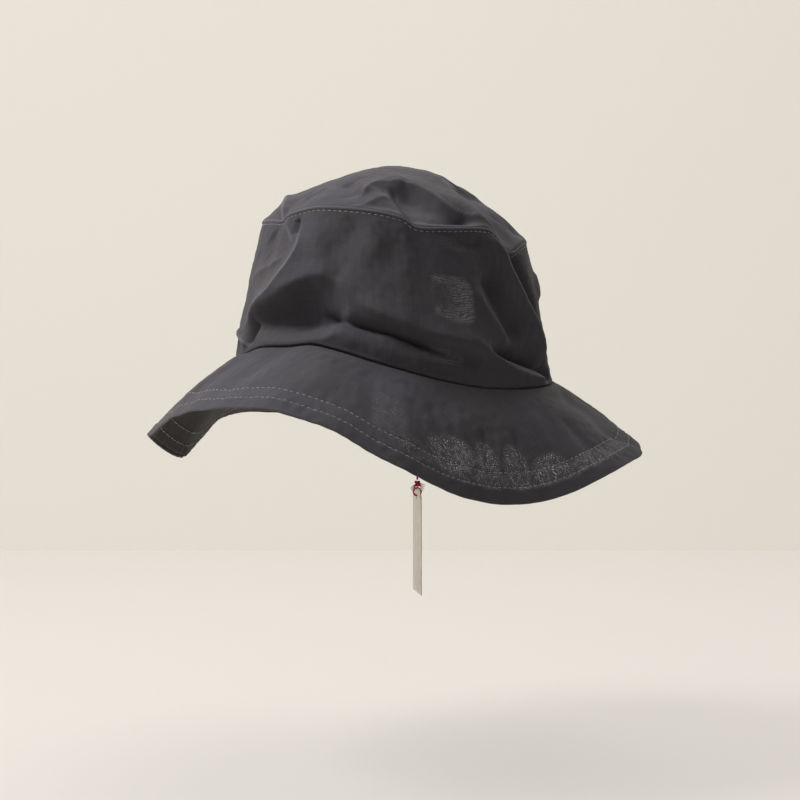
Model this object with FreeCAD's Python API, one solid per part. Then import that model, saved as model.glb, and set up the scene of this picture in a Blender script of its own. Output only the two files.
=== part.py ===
import FreeCAD, Part
import math
import os

# A soft cloth bucket hat with a swing tag. Millimetres, +Z up, front towards -Y, and the wearer's left
# towards +X. The origin is the centre of the head opening. A bearing is in degrees round the hat: 0 is
# the front, 90 the wearer's left, 180 the back.

# Head opening, top panel and brim
opening_half_width = 90.0
opening_half_length = 94.5
tip_half_width = 74.0
tip_half_length = 78.0
crown_peak = 114.0
side_bulge = 1.0
brim_width = 68.0
brim_arch = 3.0

# How the soft cloth hangs, as (bearing, value) pairs that a smooth ring joins
seam_rise_points = [(-110, 5), (-65, 6), (-48, 5), (-28, 12), (-13, 13), (-1, 14), (25, 3), (44, -5),
                    (63, -9.5), (96, -10), (115, -9), (160, -4), (205, 1)]
tip_rise_points = [(-110, 83), (-65, 83), (-35, 85), (-7, 89), (15, 87), (29, 83), (35, 78), (48, 77.5),
                   (67, 77), (85, 64), (115, 67), (160, 77), (205, 82)]
brim_droop_points = [(-135, 32), (-112, 31), (-96, 45), (-80, 56), (-65, 42), (-48, 38), (-32, 34),
                     (-15, 29), (5, 29.5), (25, 44.5), (45, 61), (65, 61), (85, 46), (115, 36.5),
                     (160, 34), (205, 33)]
brim_reach_points = [(-112, 1.02), (-80, 1.05), (-65, 0.99), (-50, 0.92), (-38, 0.91), (-15, 0.98),
                     (5, 1.0), (45, 1.0), (115, 0.94), (205, 1.0)]

# Cloth layers and the room between them
cloth = 0.6
lining = 0.5
layer_gap = 0.3
seam_gap = 0.3

# Thread rows
thread_width = 0.5
thread_height = 0.4
thread_gap = 0.2
tip_row_below_seam = 2.5
brim_outer_row_inset = 9.0
brim_inner_row_inset = 17.0
back_row_offset = 2.0

# Sweatband and labels
band_height = 28.0
band_thickness = 0.6
woven_label_width = 45.0
woven_label_height = 18.0
woven_label_thickness = 0.5
woven_label_lift = 5.0
label_thread_inset = 1.5
label_thread_margin = 1.0
care_label_bearing = 150.0
care_label_width = 16.0
care_label_height = 24.0
care_label_thickness = 0.4
care_label_gap = 0.9

# Tab, thread loop, cord, knot and card of the swing tag
tag_bearing = 197.0
tab_width = 6.0
tab_thickness = 1.2
tab_top = 7.0
tab_bottom = -5.0
tab_hole_height = -2.5
loop_radius = 3.5
loop_thread_radius = 0.5
tab_hole_clearance = 0.3
cord_diameter = 1.2
hitch_clearance = 0.3
hitch_thread_radius = 0.6
cord_gap = 0.1
cord_length_down = 62.0
cord_bow = 1.2
knot_radius = 2.2
eye_thread_radius = 0.5
hang_gap = 0.3
card_width = 30.0
card_height = 64.0
card_thickness = 0.6
card_corner = 5.0
card_hole_radius = 1.5
card_margin = 3.2
card_bearing = 34.0


def ring(points):
    """Smooth closed curve through (bearing, value) points, as a function of the bearing."""
    points = sorted((bearing % 360.0, value) for bearing, value in points)
    count = len(points)

    def gap(i, k):
        return (points[k % count][0] - points[i % count][0]) % 360.0

    slopes = [(points[(i + 1) % count][1] - points[i - 1][1]) / gap(i - 1, i + 1) for i in range(count)]

    def value_at(bearing):
        bearing = bearing % 360.0
        i = max([k for k in range(count) if points[k][0] <= bearing], default=count - 1)
        k = (i + 1) % count
        span = gap(i, k)
        t = ((bearing - points[i][0]) % 360.0) / span
        start = (2 * t ** 3 - 3 * t ** 2 + 1) * points[i][1] + (t ** 3 - 2 * t ** 2 + t) * span * slopes[i]
        end = (3 * t ** 2 - 2 * t ** 3) * points[k][1] + (t ** 3 - t ** 2) * span * slopes[k]
        return start + end

    return value_at


seam_rise = ring(seam_rise_points)
tip_rise = ring(tip_rise_points)
brim_droop = ring(brim_droop_points)
brim_reach = ring(brim_reach_points)


def outward(bearing):
    """Unit vector that points out from the middle at a bearing."""
    angle = math.radians(bearing)
    return FreeCAD.Vector(math.sin(angle), -math.cos(angle), 0)


def seam_point(bearing):
    """Point of the seam between crown and brim."""
    way = outward(bearing)
    return FreeCAD.Vector(opening_half_width * way.x, opening_half_length * way.y, seam_rise(bearing))


def side_height(bearing):
    """Height of the side panel from the brim seam to the tip seam."""
    return tip_rise(bearing) - seam_rise(bearing)


def side_surface(bearing, height):
    """Outside of the crown's side panel, at a height above the brim seam."""
    share = height / side_height(bearing)
    way = outward(bearing)
    low = seam_point(bearing)
    high = FreeCAD.Vector(tip_half_width * way.x, tip_half_length * way.y, tip_rise(bearing))
    bulge = side_bulge * math.sin(math.pi * min(max(share, 0.0), 1.0))
    return low + (high - low) * share + way * bulge


def local_brim_width(bearing):
    """Width of the brim at a bearing, where the soft cloth may be gathered in a little."""
    return brim_width * brim_reach(bearing)


def brim_surface(bearing, distance):
    """Upper side of the brim, at a distance out from the brim seam."""
    width = local_brim_width(bearing)
    share = distance / width
    droop = math.radians(brim_droop(bearing))
    arch = brim_arch * math.sin(math.pi * share)
    run = distance * math.cos(droop) + arch * math.sin(droop)
    rise = arch * math.cos(droop) - distance * math.sin(droop)
    return seam_point(bearing) + outward(bearing) * run + FreeCAD.Vector(0, 0, rise)


def tip_surface(x, y):
    """Outside of the top panel, above a point of the opening's plane."""
    share = math.hypot(x / tip_half_width, y / tip_half_length)
    bearing = math.degrees(math.atan2(x / tip_half_width, -y / tip_half_length))
    return FreeCAD.Vector(x, y, crown_peak - share ** 2 * (crown_peak - tip_rise(bearing)))


def below(surface, side, depth):
    """The surface moved inwards by a depth; side says which way its own normal points."""
    step = 0.01

    def moved(u, v):
        along = surface(u + step, v) - surface(u - step, v)
        across = surface(u, v + step) - surface(u, v - step)
        normal = along.cross(across).normalize()
        return surface(u, v) - normal * (side * depth)

    return moved


def clamped_knots(count):
    """Degree, multiplicities and knots of an even spline that ends on its first and last pole."""
    degree = min(3, count - 1)
    spans = count - degree
    return degree, [degree + 1] + [1] * (spans - 1) + [degree + 1], list(range(spans + 1))


def smooth_patch(surface, columns, shares):
    """Spline surface with its poles on a surface: each column is a u value with its low and high v."""
    poles = [[surface(u, low + (high - low) * share) for share in shares] for u, low, high in columns]
    u_degree, u_mults, u_knots = clamped_knots(len(columns))
    v_degree, v_mults, v_knots = clamped_knots(len(shares))
    patch = Part.BSplineSurface()
    patch.buildFromPolesMultsKnots(poles, u_mults, v_mults, u_knots, v_knots, False, False,
                                   u_degree, v_degree)
    return patch


def sheet(layers, u_range, v_range, u_count, v_count):
    """Closed solid between two surfaces. v_range gives the low and high v at each u."""
    shares = [k / (v_count - 1) for k in range(v_count)]
    columns = []
    for i in range(u_count):
        u = u_range[0] + (u_range[1] - u_range[0]) * i / (u_count - 1)
        columns.append((u,) + v_range(u))
    patches = [smooth_patch(layer, columns, shares) for layer in layers]
    faces = [patch.toShape() for patch in patches]
    for end in (0, 1):
        for edges in zip(*[end_edges(patch, end) for patch in patches]):
            faces.append(Part.makeRuledSurface(*edges))
    return closed_solid(faces)


def end_edges(patch, end):
    """The two edges of a patch at one end of its u and v."""
    bounds = patch.bounds()
    return patch.uIso(bounds[end]).toShape(), patch.vIso(bounds[end + 2]).toShape()


def closed_solid(faces):
    """One solid sewn from the faces that close it."""
    shell = Part.makeShell(faces)
    shell.sewShape()
    solid = Part.makeSolid(shell)
    if solid.Volume < 0:
        solid.reverse()
    return solid


def degrees_round(length, radius):
    """Bearing that a length takes up at a radius."""
    return math.degrees(length / radius)


def side_layers(depths):
    """The crown side's surface at two depths."""
    return [below(side_surface, 1, depth) for depth in depths]


def brim_layers(depths):
    """The brim's surface at two depths, whose own normal points down."""
    return [below(brim_surface, -1, depth) for depth in depths]


# Nearly a full turn, closed by the seam at the back
half_back_seam = degrees_round(seam_gap / 2, opening_half_length)
full_turn = (-180.0 + half_back_seam, 180.0 - half_back_seam)
turn_count = 97

# Depths of the layers below the outside of the cloth
outer_layer = (0.0, cloth)
lining_layer = (cloth + layer_gap, cloth + layer_gap + lining)
band_layer = (lining_layer[1] + layer_gap, lining_layer[1] + layer_gap + band_thickness)
thread_layer = (-thread_gap - thread_height, -thread_gap)


def side_panel(depths):
    """Strip from the brim seam up to just under the top panel's layer of the same kind."""
    top = depths[1] + seam_gap
    return sheet(side_layers(depths), full_turn,
                 lambda bearing: (seam_gap, side_height(bearing) - top), turn_count, 9)


def tip_panel(depths):
    """Oval dome panel. The lining's oval is smaller, so that it lies inside the side panel."""
    half_width = tip_half_width - depths[0]
    half_length = tip_half_length - depths[0]

    def on_oval(surface):
        """A square's point (a, b), each from -1 to 1, carried to the surface over the oval."""
        return lambda a, b: surface(half_width * a * math.sqrt(1 - b * b / 2),
                                    half_length * b * math.sqrt(1 - a * a / 2))

    layers = [on_oval(below(tip_surface, 1, depth)) for depth in depths]
    return sheet(layers, (-1, 1), lambda a: (-1, 1), 41, 41)


def brim_panel(depths):
    return sheet(brim_layers(depths), full_turn,
                 lambda bearing: (seam_gap, local_brim_width(bearing)), turn_count, 13)


def sweatband():
    return sheet(side_layers(band_layer), full_turn,
                 lambda bearing: (seam_gap, band_height), turn_count, 5)


def tip_row():
    """Thread row on the side panel, just below the tip seam."""

    def v_range(bearing):
        height = side_height(bearing) - tip_row_below_seam
        return height, height + thread_width

    return sheet(side_layers(thread_layer), full_turn, v_range, turn_count, 3)


def brim_rows(inset):
    """Needle thread on the upper side and bobbin thread on the under side, at one inset."""
    under = lining_layer[1] + thread_gap

    def v_range(bearing):
        distance = local_brim_width(bearing) - inset
        return distance, distance + thread_width

    return Part.makeCompound([sheet(brim_layers(depths), full_turn, v_range, turn_count, 3)
                              for depths in (thread_layer, (under, under + thread_height))])


def back_row_range(radius):
    start = 180.0 - degrees_round(back_row_offset + thread_width, radius)
    return (start, start + degrees_round(thread_width, radius))


def side_back_row():
    u_range = back_row_range(opening_half_length)
    top = tip_row_below_seam + 2 * thread_width
    return sheet(side_layers(thread_layer), u_range,
                 lambda bearing: (seam_gap, side_height(bearing) - top), 3, 9)


def brim_back_row():
    u_range = back_row_range(opening_half_length)
    end = brim_inner_row_inset + thread_width
    return sheet(brim_layers(thread_layer), u_range,
                 lambda bearing: (seam_gap, local_brim_width(bearing) - end), 3, 13)


label_layer = (band_layer[1] + layer_gap, band_layer[1] + layer_gap + woven_label_thickness)
label_half_turn = degrees_round(woven_label_width / 2, opening_half_length)


def woven_label():
    return sheet(side_layers(label_layer), (180.0 - label_half_turn, 180.0 + label_half_turn),
                 lambda bearing: (woven_label_lift, woven_label_lift + woven_label_height), 13, 3)


def woven_label_stitches():
    """Thread down each end of the woven label."""
    depths = (label_layer[1] + thread_gap, label_layer[1] + thread_gap + thread_height)
    inset = degrees_round(label_thread_inset, opening_half_length)
    width = degrees_round(thread_width, opening_half_length)
    ends = (woven_label_lift + label_thread_margin,
            woven_label_lift + woven_label_height - label_thread_margin)
    solids = []
    for start in (180.0 - label_half_turn + inset, 180.0 + label_half_turn - inset - width):
        solids.append(sheet(side_layers(depths), (start, start + width), lambda bearing: ends, 3, 3))
    return Part.makeCompound(solids)


def frame_at(bearing, height, depth):
    """Point on the band side of the crown, with the outward and sideways unit vectors there."""
    way = outward(bearing)
    sideways = FreeCAD.Vector(-way.y, way.x, 0)
    return below(side_surface, 1, depth)(bearing, height), way, sideways


def upright_plate(corner, along, thick, width, height, thickness):
    """Rectangular plate that stands upright, from its lower corner."""
    points = [corner, corner + along * width, corner + along * width + FreeCAD.Vector(0, 0, height),
              corner + FreeCAD.Vector(0, 0, height)]
    return Part.Face(Part.makePolygon(points + [points[0]])).extrude(thick * thickness)


def care_label_frame():
    return frame_at(care_label_bearing, band_height, band_layer[1] + care_label_gap)


def care_label():
    top, way, sideways = care_label_frame()
    corner = top - sideways * (care_label_width / 2) - FreeCAD.Vector(0, 0, care_label_height)
    return upright_plate(corner, sideways, way * -1, care_label_width, care_label_height,
                         care_label_thickness)


def tab_frame():
    """Centre of the tab's hole, halfway through the tab, which stands upright against the band."""
    centre, way, sideways = frame_at(tag_bearing, tab_top, band_layer[1] + layer_gap)
    centre -= way * (tab_thickness / 2)
    centre.z = seam_rise(tag_bearing) + tab_hole_height
    return centre, way, sideways


def loop_tab():
    centre, way, sideways = tab_frame()
    corner = centre - sideways * (tab_width / 2) + way * (tab_thickness / 2)
    corner.z += tab_bottom - tab_hole_height
    plate = upright_plate(corner, sideways, way * -1, tab_width, tab_top - tab_bottom, tab_thickness)
    hole = Part.makeCylinder(loop_thread_radius + tab_hole_clearance, 2 * tab_thickness,
                             centre + way * tab_thickness, way * -1)
    return plate.cut(hole)


def loop_centre():
    centre, way, sideways = tab_frame()
    return centre - FreeCAD.Vector(0, 0, loop_radius), way, sideways


def tag_loop():
    centre, way, sideways = loop_centre()
    return Part.makeTorus(loop_radius, loop_thread_radius, centre, sideways)


hitch_radius = loop_thread_radius + hitch_clearance + hitch_thread_radius


def hitch_centre():
    centre, way, sideways = loop_centre()
    return centre - FreeCAD.Vector(0, 0, loop_radius), way, sideways


def cord_hitch():
    centre, way, sideways = hitch_centre()
    return Part.makeTorus(hitch_radius, hitch_thread_radius, centre, way)


def cord_route():
    """The cord hangs from under the hitch to the knot, with a slight bow."""
    centre, way, sideways = hitch_centre()
    start = centre - FreeCAD.Vector(0, 0, hitch_radius + hitch_thread_radius + cord_gap)
    down = FreeCAD.Vector(0, 0, -cord_length_down)
    return [start, start + down * 0.5 + sideways * cord_bow, start + down]


def cord_path(points):
    """Straight runs joined by tangent arcs, and the radius of each arc."""
    edges = []
    radii = []
    last = points[0]
    for before, corner, after in zip(points, points[1:], points[2:]):
        back = (before - corner).normalize()
        ahead = (after - corner).normalize()
        half_turn = (math.pi - back.getAngle(ahead)) / 2
        reach = 0.45 * min((before - corner).Length, (after - corner).Length)
        radius = reach / math.tan(half_turn)
        enter = corner + back * reach
        leave = corner + ahead * reach
        middle_way = (back + ahead).normalize()
        middle = corner + middle_way * (radius / math.cos(half_turn) - radius)
        edges.append(Part.LineSegment(last, enter).toShape())
        edges.append(Part.Arc(enter, middle, leave).toShape())
        radii.append(radius)
        last = leave
    edges.append(Part.LineSegment(last, points[-1]).toShape())
    return Part.Wire(edges), radii


def tag_cord():
    points = cord_route()
    path, radii = cord_path(points)
    start_way = (points[1] - points[0]).normalize()
    section = Part.Wire([Part.Circle(points[0], start_way, cord_diameter / 2).toShape()])
    tube = path.makePipeShell([section], True, True)
    expected = math.pi * cord_diameter ** 2 / 4 * path.Length
    print("tag_cord length %.2f radii %s volume %.3f expected %.3f"
          % (path.Length, [round(radius) for radius in radii], tube.Volume, expected))
    return tube


def knot_centre():
    return cord_route()[-1] - FreeCAD.Vector(0, 0, cord_gap + knot_radius)


def tag_knot():
    return Part.makeSphere(knot_radius, knot_centre())


# The eye goes round the card's margin and hangs from under the knot
eye_radius = card_margin / 2 + hang_gap + eye_thread_radius


def eye_centre():
    return knot_centre() - FreeCAD.Vector(0, 0, knot_radius + cord_gap + eye_thread_radius + eye_radius)


def card_directions():
    """Unit vectors along the card's width and through its thickness."""
    return outward(card_bearing), outward(card_bearing + 90.0)


def tag_eye():
    """Cord loop through the card's hole, square to the card."""
    along, through = card_directions()
    return Part.makeTorus(eye_radius, eye_thread_radius, eye_centre(), along)


def tag_card():
    """Card with its two upper corners cut off, hung by the upper rim of its hole on the eye."""
    along, through = card_directions()
    up = FreeCAD.Vector(0, 0, 1)
    top = eye_centre() + up * (card_margin / 2)
    hole_centre = top - up * (card_margin + card_hole_radius)
    half = card_width / 2
    near = top - through * (card_thickness / 2)
    outline = [(-half + card_corner, 0), (half - card_corner, 0), (half, -card_corner),
               (half, -card_height), (-half, -card_height), (-half, -card_corner)]
    points = [near + along * x + up * z for x, z in outline]
    plate = Part.Face(Part.makePolygon(points + [points[0]])).extrude(through * card_thickness)
    hole = Part.makeCylinder(card_hole_radius, 2 * card_thickness,
                             hole_centre - through * card_thickness, through)
    return plate.cut(hole)


nodes = {
    "crown_tip": tip_panel(outer_layer),
    "crown_side": side_panel(outer_layer),
    "tip_lining": tip_panel(lining_layer),
    "side_lining": side_panel(lining_layer),
    "brim_upper": brim_panel(outer_layer),
    "brim_under": brim_panel(lining_layer),
    "sweatband": sweatband(),
    "tip_topstitch": tip_row(),
    "brim_topstitch_outer": brim_rows(brim_outer_row_inset),
    "brim_topstitch_inner": brim_rows(brim_inner_row_inset),
    "side_back_topstitch": side_back_row(),
    "brim_back_topstitch": brim_back_row(),
    "woven_label": woven_label(),
    "woven_label_stitches": woven_label_stitches(),
    "care_label": care_label(),
    "loop_tab": loop_tab(),
    "tag_loop": tag_loop(),
    "cord_hitch": cord_hitch(),
    "tag_cord": tag_cord(),
    "tag_knot": tag_knot(),
    "tag_eye": tag_eye(),
    "tag_card": tag_card(),
}

print("care label hinge", tuple(care_label_frame()[0]), tuple(care_label_frame()[2]))
print("tab hole centre", tuple(tab_frame()[0]), "outward", tuple(tab_frame()[1]))
print("loop centre", tuple(loop_centre()[0]), "sideways", tuple(loop_centre()[2]))
print("cord route", [tuple(point) for point in cord_route()])
print("knot centre", tuple(knot_centre()))

os.makedirs("parts", exist_ok=True)
for name, shape in nodes.items():
    shape.exportStep("parts/%s.step" % name)
    box = shape.BoundBox
    print("%-22s valid %s solids %d volume %9.2f  z %.1f to %.1f"
          % (name, shape.isValid(), len(shape.Solids), shape.Volume, box.ZMin, box.ZMax))
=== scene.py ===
import math

import bpy
import numpy as np
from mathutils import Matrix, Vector


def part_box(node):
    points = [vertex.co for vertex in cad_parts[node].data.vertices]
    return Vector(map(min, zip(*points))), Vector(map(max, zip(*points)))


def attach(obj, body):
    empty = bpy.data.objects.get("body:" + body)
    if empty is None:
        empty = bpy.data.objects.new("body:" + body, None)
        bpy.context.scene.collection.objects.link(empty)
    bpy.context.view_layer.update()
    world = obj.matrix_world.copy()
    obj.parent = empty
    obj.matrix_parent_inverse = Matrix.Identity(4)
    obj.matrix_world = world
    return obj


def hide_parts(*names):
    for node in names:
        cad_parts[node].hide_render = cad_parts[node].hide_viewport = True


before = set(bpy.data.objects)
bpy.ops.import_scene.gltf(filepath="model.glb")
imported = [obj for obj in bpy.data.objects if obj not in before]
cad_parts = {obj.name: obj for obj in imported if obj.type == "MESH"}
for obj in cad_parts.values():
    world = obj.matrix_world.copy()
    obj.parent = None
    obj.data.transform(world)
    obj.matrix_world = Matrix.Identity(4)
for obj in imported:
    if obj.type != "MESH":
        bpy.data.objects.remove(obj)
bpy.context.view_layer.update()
scene = bpy.context.scene

# A soft cloth bucket hat with a swing tag. The row frame: +Z up, front towards -Y, origin at the centre
# of the head opening. A bearing is in degrees round the hat: 0 is the front, 90 the wearer's left (+X).
# Shapes are worked out in millimetres and turned into metres when a mesh is made.
MM = 0.001

# ---------------------------------------------------------------- camera

CAMERA_AZIMUTH = 25.0
CAMERA_ELEVATION = 3.0
CAMERA_DISTANCE = 1.2
CAMERA_TARGET_Z = -0.0195
CAMERA_SIDESTEP = 0.003
LENS_MM = 94.05
SENSOR_MM = 36.0


def camera_axes():
    """Unit vectors from the hat to the camera, to its right, and upwards."""
    azimuth = math.radians(CAMERA_AZIMUTH)
    elevation = math.radians(CAMERA_ELEVATION)
    back = Vector((math.sin(azimuth) * math.cos(elevation), -math.cos(azimuth) * math.cos(elevation),
                   math.sin(elevation)))
    right = Vector((math.cos(azimuth), math.sin(azimuth), 0))
    return back, right, back.cross(right)


def make_camera():
    data = bpy.data.cameras.new("camera")
    data.lens = LENS_MM
    data.sensor_width = SENSOR_MM
    data.clip_start = 0.01
    data.clip_end = 30
    camera = bpy.data.objects.new("camera", data)
    scene.collection.objects.link(camera)
    back, right, up = camera_axes()
    camera.location = Vector((0, 0, CAMERA_TARGET_Z)) + right * CAMERA_SIDESTEP + back * CAMERA_DISTANCE
    camera.rotation_mode = "QUATERNION"
    camera.rotation_quaternion = (-back).to_track_quat("-Z", "Y")
    scene.camera = camera


# ---------------------------------------------------------------- materials


def new_material(name, color, roughness, sheen=0.0, specular=0.3):
    """A material with its Principled shader, and helpers to add nodes."""
    material = bpy.data.materials.new(name)
    material.use_nodes = True
    shader = material.node_tree.nodes["Principled BSDF"]
    shader.inputs["Base Color"].default_value = (*color, 1)
    shader.inputs["Roughness"].default_value = roughness
    shader.inputs["Sheen Weight"].default_value = sheen
    shader.inputs["Sheen Roughness"].default_value = 0.5
    shader.inputs["Specular IOR Level"].default_value = specular
    return material, material.node_tree, shader


def add_node(tree, kind, inputs=(), **settings):
    node = tree.nodes.new(kind)
    for name, value in settings.items():
        setattr(node, name, value)
    for name, value in dict(inputs).items():
        if isinstance(value, bpy.types.NodeSocket):
            tree.links.new(value, node.inputs[name])
        else:
            node.inputs[name].default_value = value
    return node


def math_node(tree, operation, a, b):
    return add_node(tree, "ShaderNodeMath", {0: a, 1: b}, operation=operation).outputs[0]


# The sockets of a color mix, by their place: factor, first and second color, and the result
MIX_FACTOR, MIX_FIRST, MIX_SECOND, MIX_RESULT = 0, 6, 7, 2


def mix_color(tree, factor, a, b):
    first, second = ((*color, 1) if isinstance(color, tuple) else color for color in (a, b))
    return add_node(tree, "ShaderNodeMix", {MIX_FACTOR: factor, MIX_FIRST: first, MIX_SECOND: second},
                    data_type="RGBA").outputs[MIX_RESULT]


def mix_shader(tree, factor, a, b):
    return add_node(tree, "ShaderNodeMixShader", {0: factor, 1: a, 2: b}).outputs["Shader"]


def ramp(tree, value, low, high):
    """0 below low, 1 above high, smooth between."""
    node = add_node(tree, "ShaderNodeMapRange", {"Value": value, "From Min": low, "From Max": high},
                    interpolation_type="SMOOTHSTEP")
    return node.outputs["Result"]


def flat_cloth_place(tree, scale=(1, 1, 1)):
    """The place on the flat cut of the cloth, in millimetres, from the mesh's UV map."""
    uv = add_node(tree, "ShaderNodeUVMap", uv_map="cut")
    return add_node(tree, "ShaderNodeMapping", {"Vector": uv.outputs["UV"], "Scale": scale}).outputs["Vector"]


def noise(tree, place, scale, detail=3.0, roughness=0.5):
    node = add_node(tree, "ShaderNodeTexNoise", {"Vector": place, "Scale": scale, "Detail": detail,
                                                 "Roughness": roughness})
    return node.outputs["Fac"]


def finish_material(tree, shader, tone, height, strength, depth):
    """Gives a shader its color, and a bump as deep as depth, in millimetres."""
    tree.links.new(tone, shader.inputs["Base Color"])
    bump = add_node(tree, "ShaderNodeBump", {"Height": height, "Strength": strength, "Distance": depth * MM})
    tree.links.new(bump.outputs["Normal"], shader.inputs["Normal"])


def threads(tree, place, direction, pitch, wobble):
    """Bright along the middle of each thread of a set that runs across a direction."""
    node = add_node(tree, "ShaderNodeTexWave", {"Vector": place, "Scale": math.pi / (10 * pitch),
                                                "Distortion": wobble, "Detail": 2.0,
                                                "Detail Scale": 1.5},
                    bands_direction=direction, wave_profile="SIN")
    return node.outputs["Fac"]


WEAVE_PITCH = 0.55


def weave_height(tree):
    """Plain weave: warp and weft threads with slubs of uneven thickness."""
    place = flat_cloth_place(tree)
    warp = threads(tree, place, "X", WEAVE_PITCH, 0.7)
    weft = threads(tree, place, "Y", WEAVE_PITCH, 0.7)
    slub_warp = noise(tree, flat_cloth_place(tree, (1.8, 0.05, 1)), 1.0, 2.0)
    slub_weft = noise(tree, flat_cloth_place(tree, (0.05, 1.8, 1)), 1.0, 2.0)
    warp = math_node(tree, "MULTIPLY", warp, slub_warp)
    weft = math_node(tree, "MULTIPLY", weft, slub_weft)
    return math_node(tree, "MAXIMUM", warp, weft), slub_warp, slub_weft


def glint_dashes(tree, drift_reach, wobble, gaps, grid_shapes):
    """A fine lattice of short pale dashes, where two sheer layers line up and light comes through."""
    place = flat_cloth_place(tree)
    drift = add_node(tree, "ShaderNodeTexNoise", {"Vector": place, "Scale": 0.08, "Detail": 2.0})
    bent = add_node(tree, "ShaderNodeVectorMath",
                    {0: drift.outputs["Color"], 1: (drift_reach, drift_reach, 0.0)}, operation="MULTIPLY")
    moved = add_node(tree, "ShaderNodeVectorMath", {0: place, 1: bent.outputs[0]}, operation="ADD")
    grids = []
    for turn, pitch, low, high in grid_shapes:
        turned = add_node(tree, "ShaderNodeMapping", {"Vector": moved.outputs[0], "Rotation": (0, 0, turn)})
        lines = threads(tree, turned.outputs["Vector"], "X", pitch, wobble)
        grids.append(ramp(tree, lines, low, high))
    clumps = ramp(tree, noise(tree, moved.outputs[0], 0.4, 3.0, 0.7), gaps, gaps + 0.2)
    return math_node(tree, "MULTIPLY", math_node(tree, "MULTIPLY", grids[0], grids[1]), clumps)


# How much paler the cloth turns where it is rubbed, and under the painted highlight on the crests of pressed
# folds
RUB_AND_HIGHLIGHT_PALER = 2.5


def cloth_material(name, color, brown, glints=None, glint_color=None):
    """Thin charcoal weave: thread-by-thread tone, slubs, cloudy fading and a soft sheen."""
    material, tree, shader = new_material(name, color, 0.85, sheen=0.05, specular=0.12)
    height, slub_warp, slub_weft = weave_height(tree)
    cloud = noise(tree, flat_cloth_place(tree), 0.018, 3.0)
    tone = mix_color(tree, ramp(tree, cloud, 0.35, 0.65), color, brown)
    dark = tuple(0.62 * c for c in color)
    tone = mix_color(tree, ramp(tree, height, 0.05, 0.55), dark, tone)
    light = tuple(min(1.0, 1.35 * c + 0.004) for c in color)
    streak = math_node(tree, "MAXIMUM", ramp(tree, slub_warp, 0.62, 0.74), ramp(tree, slub_weft, 0.62, 0.74))
    tone = mix_color(tree, math_node(tree, "MULTIPLY", streak, 0.22), tone, light)
    # Paler where the cloth is rubbed at seams and edges, and a painted highlight along the crests of pressed
    # folds, where they would catch the light
    rub_and_crest_highlight = add_node(tree, "ShaderNodeAttribute", attribute_name="rub_and_crest_highlight")
    tone = mix_color(tree, rub_and_crest_highlight.outputs["Fac"], tone, tuple(RUB_AND_HIGHLIGHT_PALER * c for c in color))
    if glints:
        mask = add_node(tree, "ShaderNodeAttribute", attribute_name="glint")
        amount = math_node(tree, "MULTIPLY", glint_dashes(tree, *glints), mask.outputs["Fac"])
        # A painted pale haze over each glint patch, for light coming through the sheer layers, with the
        # painted pale dashes on top
        glint_haze = math_node(tree, "MULTIPLY", mask.outputs["Fac"], 0.16)
        tone = mix_color(tree, glint_haze, tone, (0.2, 0.19, 0.19))
        tone = mix_color(tree, amount, tone, glint_color)
    finish_material(tree, shader, tone, height, 0.35, 0.12)
    return material


def ribbed_material(name, color, pitch=1.1):
    """Band cloth with fine ribs across its length."""
    material, tree, shader = new_material(name, color, 0.7, sheen=0.15)
    place = flat_cloth_place(tree)
    ribs = threads(tree, place, "X", pitch, 0.15)
    weft = threads(tree, place, "Y", 0.4, 0.5)
    height = math_node(tree, "ADD", ribs, math_node(tree, "MULTIPLY", weft, 0.25))
    tone = mix_color(tree, ramp(tree, height, 0.1, 0.9), tuple(0.6 * c for c in color), color)
    finish_material(tree, shader, tone, height, 0.5, 0.2)
    return material


def object_place(tree):
    """The place in the row frame, in millimetres."""
    coordinates = add_node(tree, "ShaderNodeTexCoord")
    mapping = add_node(tree, "ShaderNodeMapping", {"Vector": coordinates.outputs["Object"],
                                                  "Scale": (1000, 1000, 1000)})
    return mapping.outputs["Vector"]


def thread_material(name, color):
    """Twisted thread or cord: slanting plies and a little fuzz."""
    material, tree, shader = new_material(name, color, 0.65, sheen=0.25)
    place = object_place(tree)
    ply = add_node(tree, "ShaderNodeTexWave", {"Vector": place, "Scale": 0.55, "Distortion": 0.4},
                   bands_direction="DIAGONAL")
    spots = noise(tree, place, 0.9, 2.0)
    tone = mix_color(tree, ramp(tree, ply.outputs["Fac"], 0.1, 0.7), tuple(0.5 * c for c in color), color)
    tone = mix_color(tree, ramp(tree, spots, 0.4, 0.7), tone, tuple(min(1.0, 1.25 * c) for c in color))
    finish_material(tree, shader, tone, ply.outputs["Fac"], 0.6, 0.15)
    return material


def card_material(name, color):
    """Uncoated card: fibres and faint mottling."""
    material, tree, shader = new_material(name, color, 0.88, specular=0.25)
    place = object_place(tree)
    fibres = noise(tree, place, 2.4, 5.0, 0.7)
    mottle = noise(tree, place, 0.12, 2.0)
    tone = mix_color(tree, ramp(tree, mottle, 0.3, 0.7), color, tuple(0.93 * c for c in color))
    tone = mix_color(tree, math_node(tree, "MULTIPLY", ramp(tree, fibres, 0.55, 0.8), 0.4), tone,
                     tuple(0.72 * c for c in color))
    finish_material(tree, shader, tone, fibres, 0.25, 0.1)
    return material


# ---------------------------------------------------------------- the hat's surfaces (millimetres)

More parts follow.
